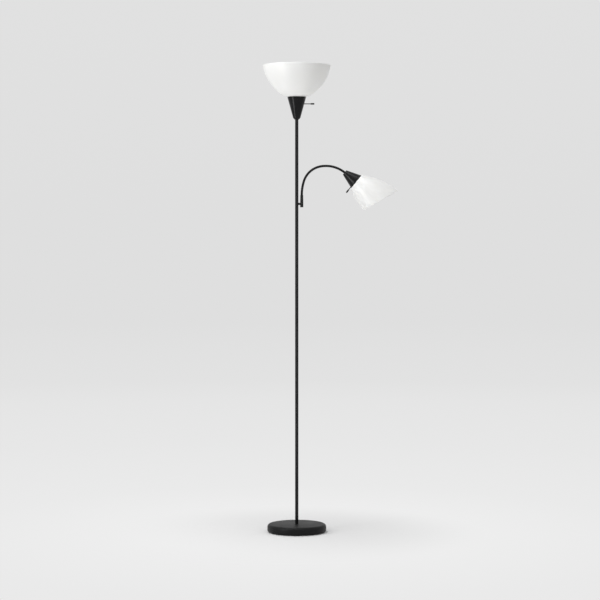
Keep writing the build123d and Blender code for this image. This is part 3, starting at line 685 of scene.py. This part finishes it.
class TORCHIERE_OT_shades(bpy.types.Operator):
    """Bowl of the uplight, and slanted bell of the reading light."""

    bl_idname = "torchiere.shades"
    bl_label = "Shades"

    def execute(self, context):
        self.bowl()
        self.bell()
        return {"FINISHED"}

    def bowl(self):
        """Deep bowl, with a foot that steps up to its floor's edge."""
        seat, depth = UPLIGHT.seat, 122.0
        bowl = self.wall([(37.0, seat, 10.0), (49.0, seat + 4.0, 10.0)], (130.5, seat + depth), 158.0)
        fit("uplight_bowl", bowl, opal_acrylic(), UPLIGHT.place())

    def bell(self):
        """Bell whose mouth is cut at a slant, from its long side to its short side."""
        seat, long_side, short_side, mouth = READING.seat, 145.0, 87.5, 71.5
        slant = math.atan2(long_side - short_side, 2 * mouth)
        middle = Vector((0, 0, (seat + (long_side + short_side) / 2) * MM))
        cut = middle, Vector((math.sin(slant), 0, math.cos(slant)))
        bell = self.wall([(33.6, seat, 2.5)], (mouth, seat + long_side), 290.0, cut)
        fit("reading_shade", bell, opal_acrylic(), READING.place())

    def wall(self, corners, rim, arc_radius, cut=None):
        """Turn a floor and a bowed side, cut the rim, give the wall its thickness and round its lip.

        The corners are (radius, height, rounding) points of the floor's outline, from the seat outwards, and
        the rim is a (radius, height) point, all in millimetres. A side that is cut is turned a little past
        its rim, so that the cut meets it all round.
        """
        sizes = bpy.context.scene.lamp_sizes
        seat, past_rim = corners[0][1], 8
        bm = wire([(HOLDER_HOLE, seat, 0)] + [(radius, height, 0) for radius, height, rounding in corners])
        bm.verts.ensure_lookup_table()
        corner_verts = bm.verts[1:]
        start = Vector(corners[-1][:2])
        chord = (Vector(rim) - start) / 2
        bow = math.sqrt(arc_radius**2 - chord.length_squared)
        centre = start + chord + Vector((-chord.y, chord.x)).normalized() * bow
        sweep = 2 * math.asin(chord.length / arc_radius)
        bmesh.ops.spin(
            bm, geom=[corner_verts[-1]], cent=Vector((centre.x, 0, centre.y)) * MM, axis=(0, -1, 0),
            angle=sweep + (past_rim / arc_radius if cut else 0), steps=40,
        )
        for vert, (radius, height, rounding) in zip(corner_verts, corners):
            round_corner(bm, vert, rounding * MM)
        lathe(bm, 160)
        if cut:
            self.cut_rim(bm, *cut)
        bmesh.ops.recalc_face_normals(bm, faces=bm.faces)
        sides = [face for face in bm.faces if face.normal.z < 0.9]
        if sum(face.normal.dot(face.calc_center_median()) for face in sides) < 0:
            bmesh.ops.reverse_faces(bm, faces=bm.faces)
        bmesh.ops.solidify(bm, geom=bm.faces[:], thickness=-sizes.shade_wall)
        bm.normal_update()
        above_floor, sharp_angle = (seat + 20) * MM, 1.0
        lips = [
            edge for edge in bm.edges
            if len(edge.link_faces) == 2
            and edge.calc_face_angle() > sharp_angle
            and edge.verts[0].co.z > above_floor
        ]
        bmesh.ops.bevel(
            bm, geom=lips, offset=sizes.shade_lip, segments=3, profile=0.5, affect="EDGES", material=-1
        )
        return bm

    def cut_rim(self, bm, middle, normal):
        """Cut off what lies beyond a plane, and merge the slivers that the cut leaves along its brink."""
        brink_width, sliver = 1 * MM, 0.8 * MM
        everything = bm.verts[:] + bm.edges[:] + bm.faces[:]
        bmesh.ops.bisect_plane(
            bm, geom=everything, plane_co=middle, plane_no=normal, clear_outer=True
        )
        brink = [vert for vert in bm.verts if abs((vert.co - middle).dot(normal)) < brink_width]
        bmesh.ops.remove_doubles(bm, verts=brink, dist=sliver)


class TORCHIERE_OT_lampholders(bpy.types.Operator):
    """Lampholders, the rings that hold the shades, and the bulbs."""

    bl_idname = "torchiere.lampholders"
    bl_label = "Lampholders and bulbs"

    def execute(self, context):
        floor = context.scene.lamp_sizes.shade_wall / MM
        contact, well = 1.6, 25
        for head in (UPLIGHT, READING):
            shell = head.seat + head.shell_rise
            glass = self.glass(shell + contact, head.bulb_radius, head.bulb_length)
            for part, bm, material, slot in (
                ("lampholder", self.holder(head, shell, well), moulded_phenolic(), "black_plastic"),
                ("shade_ring", self.ring(head.seat + floor), moulded_nylon(), "ring_plastic"),
                ("bulb_glass", glass, frosted_glass(), "opal_glass"),
                ("bulb_cap", self.cap(shell + contact), aluminium_cap(), "cap_metal"),
            ):
                fit(f"{head.name}_{part}", bm, material, head.place())
        return {"FINISHED"}

    def holder(self, head, shell, well):
        """Body in the cone, flange below the shade, threaded barrel above it, and the brass shell's well."""
        seat, top = head.seat, shell + well
        foot, flange_foot = seat - head.switch_drop - 19.0, seat - 3
        body, flange, root, crest, bore = 17, 22, 18.5, 19.0, 14.05
        pitch, runout = 2.0, 2.5
        thread = []
        height = seat + 1.0
        while height < top - runout:
            thread += [(root, height, 0), (crest, height + 0.7, 0), (crest, height + 1.1, 0)]
            thread += [(root, height + 1.8, 0)]
            height += pitch
        return turned(
            [
                (0, foot, 0), (body, foot, 1), (body, flange_foot, 0), (flange, flange_foot, 0.5),
                (flange, seat, 0.3), (root, seat, 0), *thread,
                (root, top, 0.8), (bore, top, 0.4), (bore, shell, 0), (0, shell, 0),
            ],
            steps=96,
        )

    def ring(self, low):
        """Screwed ring with ten finger notches."""
        outer, height, notch, notches = 27.0, 7, 2.2, 10
        bm = turned(
            [
                (HOLDER_HOLE, low, 0.3), (outer, low, 0.4),
                (outer, low + height, 1.2), (HOLDER_HOLE, low + height, 0.5),
            ],
            closed=True, steps=360,
        )
        for vert in bm.verts:
            away = math.hypot(vert.co.x, vert.co.y)
            turn = math.atan2(vert.co.y, vert.co.x) * notches / math.tau
            aside = abs(turn - round(turn)) * math.tau / notches * outer
            if aside < notch:
                kept = outer - math.sqrt(notch**2 - aside**2)
                if away > kept * MM:
                    vert.co.xy *= kept * MM / away
        bmesh.ops.recalc_face_normals(bm, faces=bm.faces)
        return bm

    def glass(self, foot, radius, length):
        """Pear shape of the bulb, closed at its neck."""
        neck, neck_foot, neck_top = 12.6, foot + CAP_FLOOR, foot + 29
        centre = foot + length - radius
        points = [(0, neck_foot, 0), (neck, neck_foot, 0), (neck, neck_top, radius)]
        away = math.hypot(neck, centre - neck_top)
        turn = math.acos(radius / away) - math.atan2(neck, centre - neck_top)
        steps = 24
        for step in range(steps + 1):
            angle = -math.pi / 2 + turn + (math.pi - turn) * step / steps
            points.append((radius * math.cos(angle), centre + radius * math.sin(angle), 0))
        return turned(points, steps=96)

    def cap(self, foot):
        """Rolled screw cap with its insulated tip."""
        root, crest, collar, collar_bore = 12.5, 13.2, 13.0, 12.7
        tip, taper, collar_foot, top = 5, 11, foot + 22, foot + 25
        turns, first_turn, pitch = 5, 5, 3.6
        thread = []
        for turn in range(turns):
            height = foot + first_turn + turn * pitch
            thread += [(root, height, 0.6), (crest, height + 1.4, 0.6)]
        return turned(
            [
                (0, foot, 0), (tip, foot, 0.5), (taper, foot + 3, 1), *thread,
                (collar, collar_foot, 0.5), (collar, top, 0.3),
                (collar_bore, top, 0), (collar_bore, foot + CAP_FLOOR, 0), (0, foot + CAP_FLOOR, 0),
            ],
            steps=72,
        )


class TORCHIERE_OT_switches(bpy.types.Operator):
    """Fluted knobs and plain shafts of both rotary switches."""

    bl_idname = "torchiere.switches"
    bl_label = "Switches"

    def execute(self, context):
        start, radius, in_knob, knob_length = 3.5, 1.6, 8, 15.0
        for head in (UPLIGHT, READING):
            axis = Matrix.Translation((0, 0, (head.seat - head.switch_drop) * MM))
            place = head.place() @ axis @ Matrix.Rotation(math.pi / 2, 4, "Y")
            end = head.knob_tip - in_knob
            shaft = turned([(0, start, 0), (radius, start, 0), (radius, end, 0), (0, end, 0)], steps=32)
            fit(f"{head.name}_switch_shaft", shaft, baked_enamel(), place)
            knob = self.knob(head.knob_tip - knob_length, head.knob_tip)
            fit(f"{head.name}_switch_knob", knob, moulded_nylon(), place)
        return {"FINISHED"}

    def knob(self, low, high):
        """Slim grip that swells from its collar, with six flutes and a rounded tip."""
        collar, grip, swell = 2.3, 3.1, 3.75
        flutes, flute_depth, flute_start, fade, core = 6, 0.45, 2.5, 2.0, 2.4
        bm = turned(
            [(0, low, 0), (collar, low, 0.3), (grip, low + swell, 1.5), (grip, high, 1.0), (0, high, 0)],
            steps=72,
        )
        long_edges = [edge for edge in bm.edges if abs(edge.verts[0].co.z - edge.verts[1].co.z) > 5 * MM]
        bmesh.ops.subdivide_edges(bm, edges=long_edges, cuts=6)
        for vert in bm.verts:
            share = min(1.0, max(0.0, (vert.co.z / MM - low - flute_start) / fade))
            outwards = Vector((vert.co.x, vert.co.y, 0))
            depth = max(0.0, math.cos(flutes * math.atan2(vert.co.y, vert.co.x))) ** 2 * share
            if outwards.length > core * MM:
                vert.co -= outwards.normalized() * depth * flute_depth * MM
        return bm


class TORCHIERE_OT_finishes(bpy.types.Operator):
    """Finishes of all CAD pieces, also of those that a finer piece stands for."""

    bl_idname = "torchiere.finishes"
    bl_label = "Finishes"

    def execute(self, context):
        finishes = {
            "cast_weight": cast_iron, "zinc_plate": zinc_plate, "zinc_fasteners": zinc_plate,
            "foam_pad": closed_cell_foam, "black_rubber": soft_rubber, "brass_contacts": brass_sheet,
            "black_paint": powder_coat, "black_plastic": moulded_nylon, "gooseneck_coating": gooseneck_coat,
            "cone_plastic": moulded_abs, "ring_plastic": moulded_nylon, "shade_plastic": opal_acrylic,
            "cap_metal": aluminium_cap, "opal_glass": frosted_glass,
        }
        slots = {part["node"]: part["material_slot"] for part in frame["record"]["subparts"]}
        for node, shape in frame["nodes"].items():
            material = finishes[slots[node]]()
            for slot in shape.material_slots:
                slot.material = material
        return {"FINISHED"}


# ---- Operator: the studio -----------------------------------------------------------------
# Place of each soft light, and its width and height, in metres.
LIGHTS = {
    "key": ((-1.8, -1.35, 1.12), (0.4, 2.1)),
    "fill": ((3.2, -2.8, 1.6), (1.8, 1.8)),
    "top": ((-0.8, -0.6, 4.2), (2.4, 2.4)),
}
LIT_POINT = Vector((0, 0, 1.0))  # where every light faces, in metres
FLOOR_RADIUS = 60  # metres, far enough for its edge to lie close to the horizon
FLOOR_FADE = 20.0  # metres over which the floor's colour fades into the background's
# Floor colours between the near and the far one, each at a share of the fade.
FLOOR_TONES = ((0.07, "#eaeaea"), (0.165, "#e7e7e7"), (0.3, "#e5e5e5"), (0.39, "#e2e2e2"))
# Metres from the pole within which the floor takes the light and shadow almost fully, and from which on it
# takes none and shows only its own colour.
SHADED, UNSHADED = 0.13, 0.75
LEAST_GLOW = 0.04  # share of its own colour that the floor shows right under the lamp
CAMERA_PLACE = (0.0126, -7.29, 1.1417)  # metres
CAMERA_LENS = 112.9  # millimetres, on a sensor 36 wide
CAMERA_TILT = 1.876  # degrees below level


class TORCHIERE_OT_studio(bpy.types.Operator):
    """Pale paper, soft lights and the camera."""

    bl_idname = "torchiere.studio"
    bl_label = "Studio"

    def execute(self, context):
        self.paper(context)
        self.world(context)
        for name, (place, size) in LIGHTS.items():
            self.lamp(name, place, size, getattr(context.scene.studio, f"{name}_power"))
        self.camera(context)
        context.scene.view_settings.view_transform = "Standard"
        return {"FINISHED"}

    def paper(self, context):
        """Floor that takes the lamp's shadow near it, and is as plain as the background far off."""
        bm = bmesh.new()
        bmesh.ops.create_circle(bm, cap_ends=True, segments=96, radius=FLOOR_RADIUS)
        mesh = bpy.data.meshes.new("floor_paper")
        bm.to_mesh(mesh)
        bm.free()
        floor = bpy.data.objects.new("floor_paper", mesh)
        context.scene.collection.objects.link(floor)
        settings = context.scene.studio
        material = new_material("Studio_paper")
        tree = material.node_tree
        place = add(tree, "ShaderNodeTexCoord").outputs["Object"]
        away = add(tree, "ShaderNodeVectorMath", links={0: place}, operation="LENGTH").outputs["Value"]
        far = add(tree, "ShaderNodeMapRange", {"From Min": 0.0, "From Max": FLOOR_FADE}, {"Value": away})
        tone = self.tones(tree, far.outputs["Result"], ((0.03, settings.floor), (0.9, settings.background)))
        for position, code in FLOOR_TONES:
            tone.color_ramp.elements.new(position).color = colour4(linear(code))
        glow = add(tree, "ShaderNodeEmission", links={"Color": tone.outputs["Color"]})
        matt = add(tree, "ShaderNodeBsdfDiffuse", {"Color": colour4(settings.floor)})
        rays = self.shown(tree)
        near = add(
            tree, "ShaderNodeMapRange",
            {"From Min": SHADED, "From Max": UNSHADED, "To Min": LEAST_GLOW, "To Max": 1.0},
            {"Value": away}, interpolation_type="SMOOTHSTEP",
        )
        share = add(tree, "ShaderNodeMath", links={0: rays, 1: near.outputs["Result"]}, operation="MULTIPLY")
        both = add(
            tree, "ShaderNodeMixShader",
            links={0: share.outputs[0], 1: matt.outputs[0], 2: glow.outputs[0]},
        )
        add(tree, "ShaderNodeOutputMaterial", links={"Surface": both.outputs[0]})
        mesh.materials.append(material)

    def world(self, context):
        """Pale wall, a little lighter higher up, and an even light on everything."""
        world = bpy.data.worlds.new("studio_room")
        context.scene.world = world
        world.use_nodes = True
        tree = world.node_tree
        tree.nodes.clear()
        way = add(tree, "ShaderNodeTexCoord").outputs["Generated"]
        height = add(tree, "ShaderNodeSeparateXYZ", links={0: way}).outputs["Z"]
        rise = add(tree, "ShaderNodeMapRange", {"From Min": 0.0, "From Max": 0.13}, {"Value": height})
        tones = ((0.1, context.scene.studio.background), (1.0, linear("#e1e1e1")))
        tone = self.tones(tree, rise.outputs["Result"], tones)
        seen = add(tree, "ShaderNodeBackground", {"Strength": 1.0}, {"Color": tone.outputs["Color"]})
        room = context.scene.studio.room
        lit = add(tree, "ShaderNodeBackground", {"Color": (1, 1, 1, 1), "Strength": room})
        both = add(
            tree, "ShaderNodeMixShader",
            links={0: self.shown(tree), 1: lit.outputs[0], 2: seen.outputs[0]},
        )
        add(tree, "ShaderNodeOutputWorld", links={"Surface": both.outputs[0]})

    def shown(self, tree):
        """One for the rays that show the background itself: seen, mirrored, or through glass."""
        rays = add(tree, "ShaderNodeLightPath").outputs
        some = rays["Is Camera Ray"]
        for more in ("Is Glossy Ray", "Is Transmission Ray"):
            some = add(tree, "ShaderNodeMath", links={0: some, 1: rays[more]}, operation="MAXIMUM").outputs[0]
        return some

    def tones(self, tree, share, ends):
        """Colour ramp between two (position, colour) ends."""
        ramp = add(tree, "ShaderNodeValToRGB", links={"Fac": share})
        for stop, (position, colour) in zip(ramp.color_ramp.elements, ends):
            stop.position = position
            stop.color = colour4(colour)
        return ramp

    def lamp(self, name, place, size, power):
        """Soft light of a given width and height that faces the lit point."""
        light = bpy.data.lights.new(f"studio_{name}", "AREA")
        light.shape = "RECTANGLE"
        light.size, light.size_y = size
        light.energy = power
        thing = bpy.data.objects.new(f"studio_{name}", light)
        thing.location = place
        thing.rotation_euler = (LIT_POINT - Vector(place)).to_track_quat("-Z", "Y").to_euler()
        thing.visible_camera = False
        bpy.context.scene.collection.objects.link(thing)

    def camera(self, context):
        """Camera a little above the middle of the lamp's height, looking slightly down."""
        camera = bpy.data.cameras.new("studio_camera")
        camera.lens = CAMERA_LENS
        camera.sensor_width = 36
        thing = bpy.data.objects.new("studio_camera", camera)
        thing.location = CAMERA_PLACE
        thing.rotation_euler = (math.radians(90 - CAMERA_TILT), 0, 0)
        context.scene.collection.objects.link(thing)
        context.scene.camera = thing


class TORCHIERE_PT_panel(bpy.types.Panel):
    """Buttons for each piece, and the colours and sizes."""

    bl_idname = "TORCHIERE_PT_panel"
    bl_label = "Torchiere"
    bl_space_type = "VIEW_3D"
    bl_region_type = "UI"
    bl_category = "Torchiere"

    def draw(self, context):
        layout = self.layout
        for operator in OPERATORS:
            layout.operator(operator.bl_idname)
        for group in (context.scene.lamp_colours, context.scene.lamp_sizes, context.scene.studio):
            for name in group.__annotations__:
                layout.prop(group, name)


GROUPS = {"lamp_colours": LampColours, "lamp_sizes": LampSizes, "studio": StudioSettings}
OPERATORS = (
    TORCHIERE_OT_base, TORCHIERE_OT_pole, TORCHIERE_OT_arm, TORCHIERE_OT_gooseneck, TORCHIERE_OT_cones,
    TORCHIERE_OT_shades, TORCHIERE_OT_lampholders, TORCHIERE_OT_switches, TORCHIERE_OT_finishes,
    TORCHIERE_OT_studio,
)


def register():
    """Register the classes, and hang the settings on the scene."""
    for cls in (*GROUPS.values(), *OPERATORS, TORCHIERE_PT_panel):
        bpy.utils.register_class(cls)
    for name, group in GROUPS.items():
        setattr(bpy.types.Scene, name, PointerProperty(type=group))


def unregister():
    """Take back what register added."""
    for name in GROUPS:
        delattr(bpy.types.Scene, name)
    for cls in reversed((*GROUPS.values(), *OPERATORS, TORCHIERE_PT_panel)):
        bpy.utils.unregister_class(cls)


def main():
    """Build the lamp and its studio."""
    register()
    bpy.ops.torchiere.base()
    bpy.ops.torchiere.pole()
    bpy.ops.torchiere.arm()
    bpy.ops.torchiere.gooseneck()
    bpy.ops.torchiere.cones()
    bpy.ops.torchiere.shades()
    bpy.ops.torchiere.lampholders()
    bpy.ops.torchiere.switches()
    bpy.ops.torchiere.finishes()
    bpy.ops.torchiere.studio()


if __name__ == "__main__":
    main()
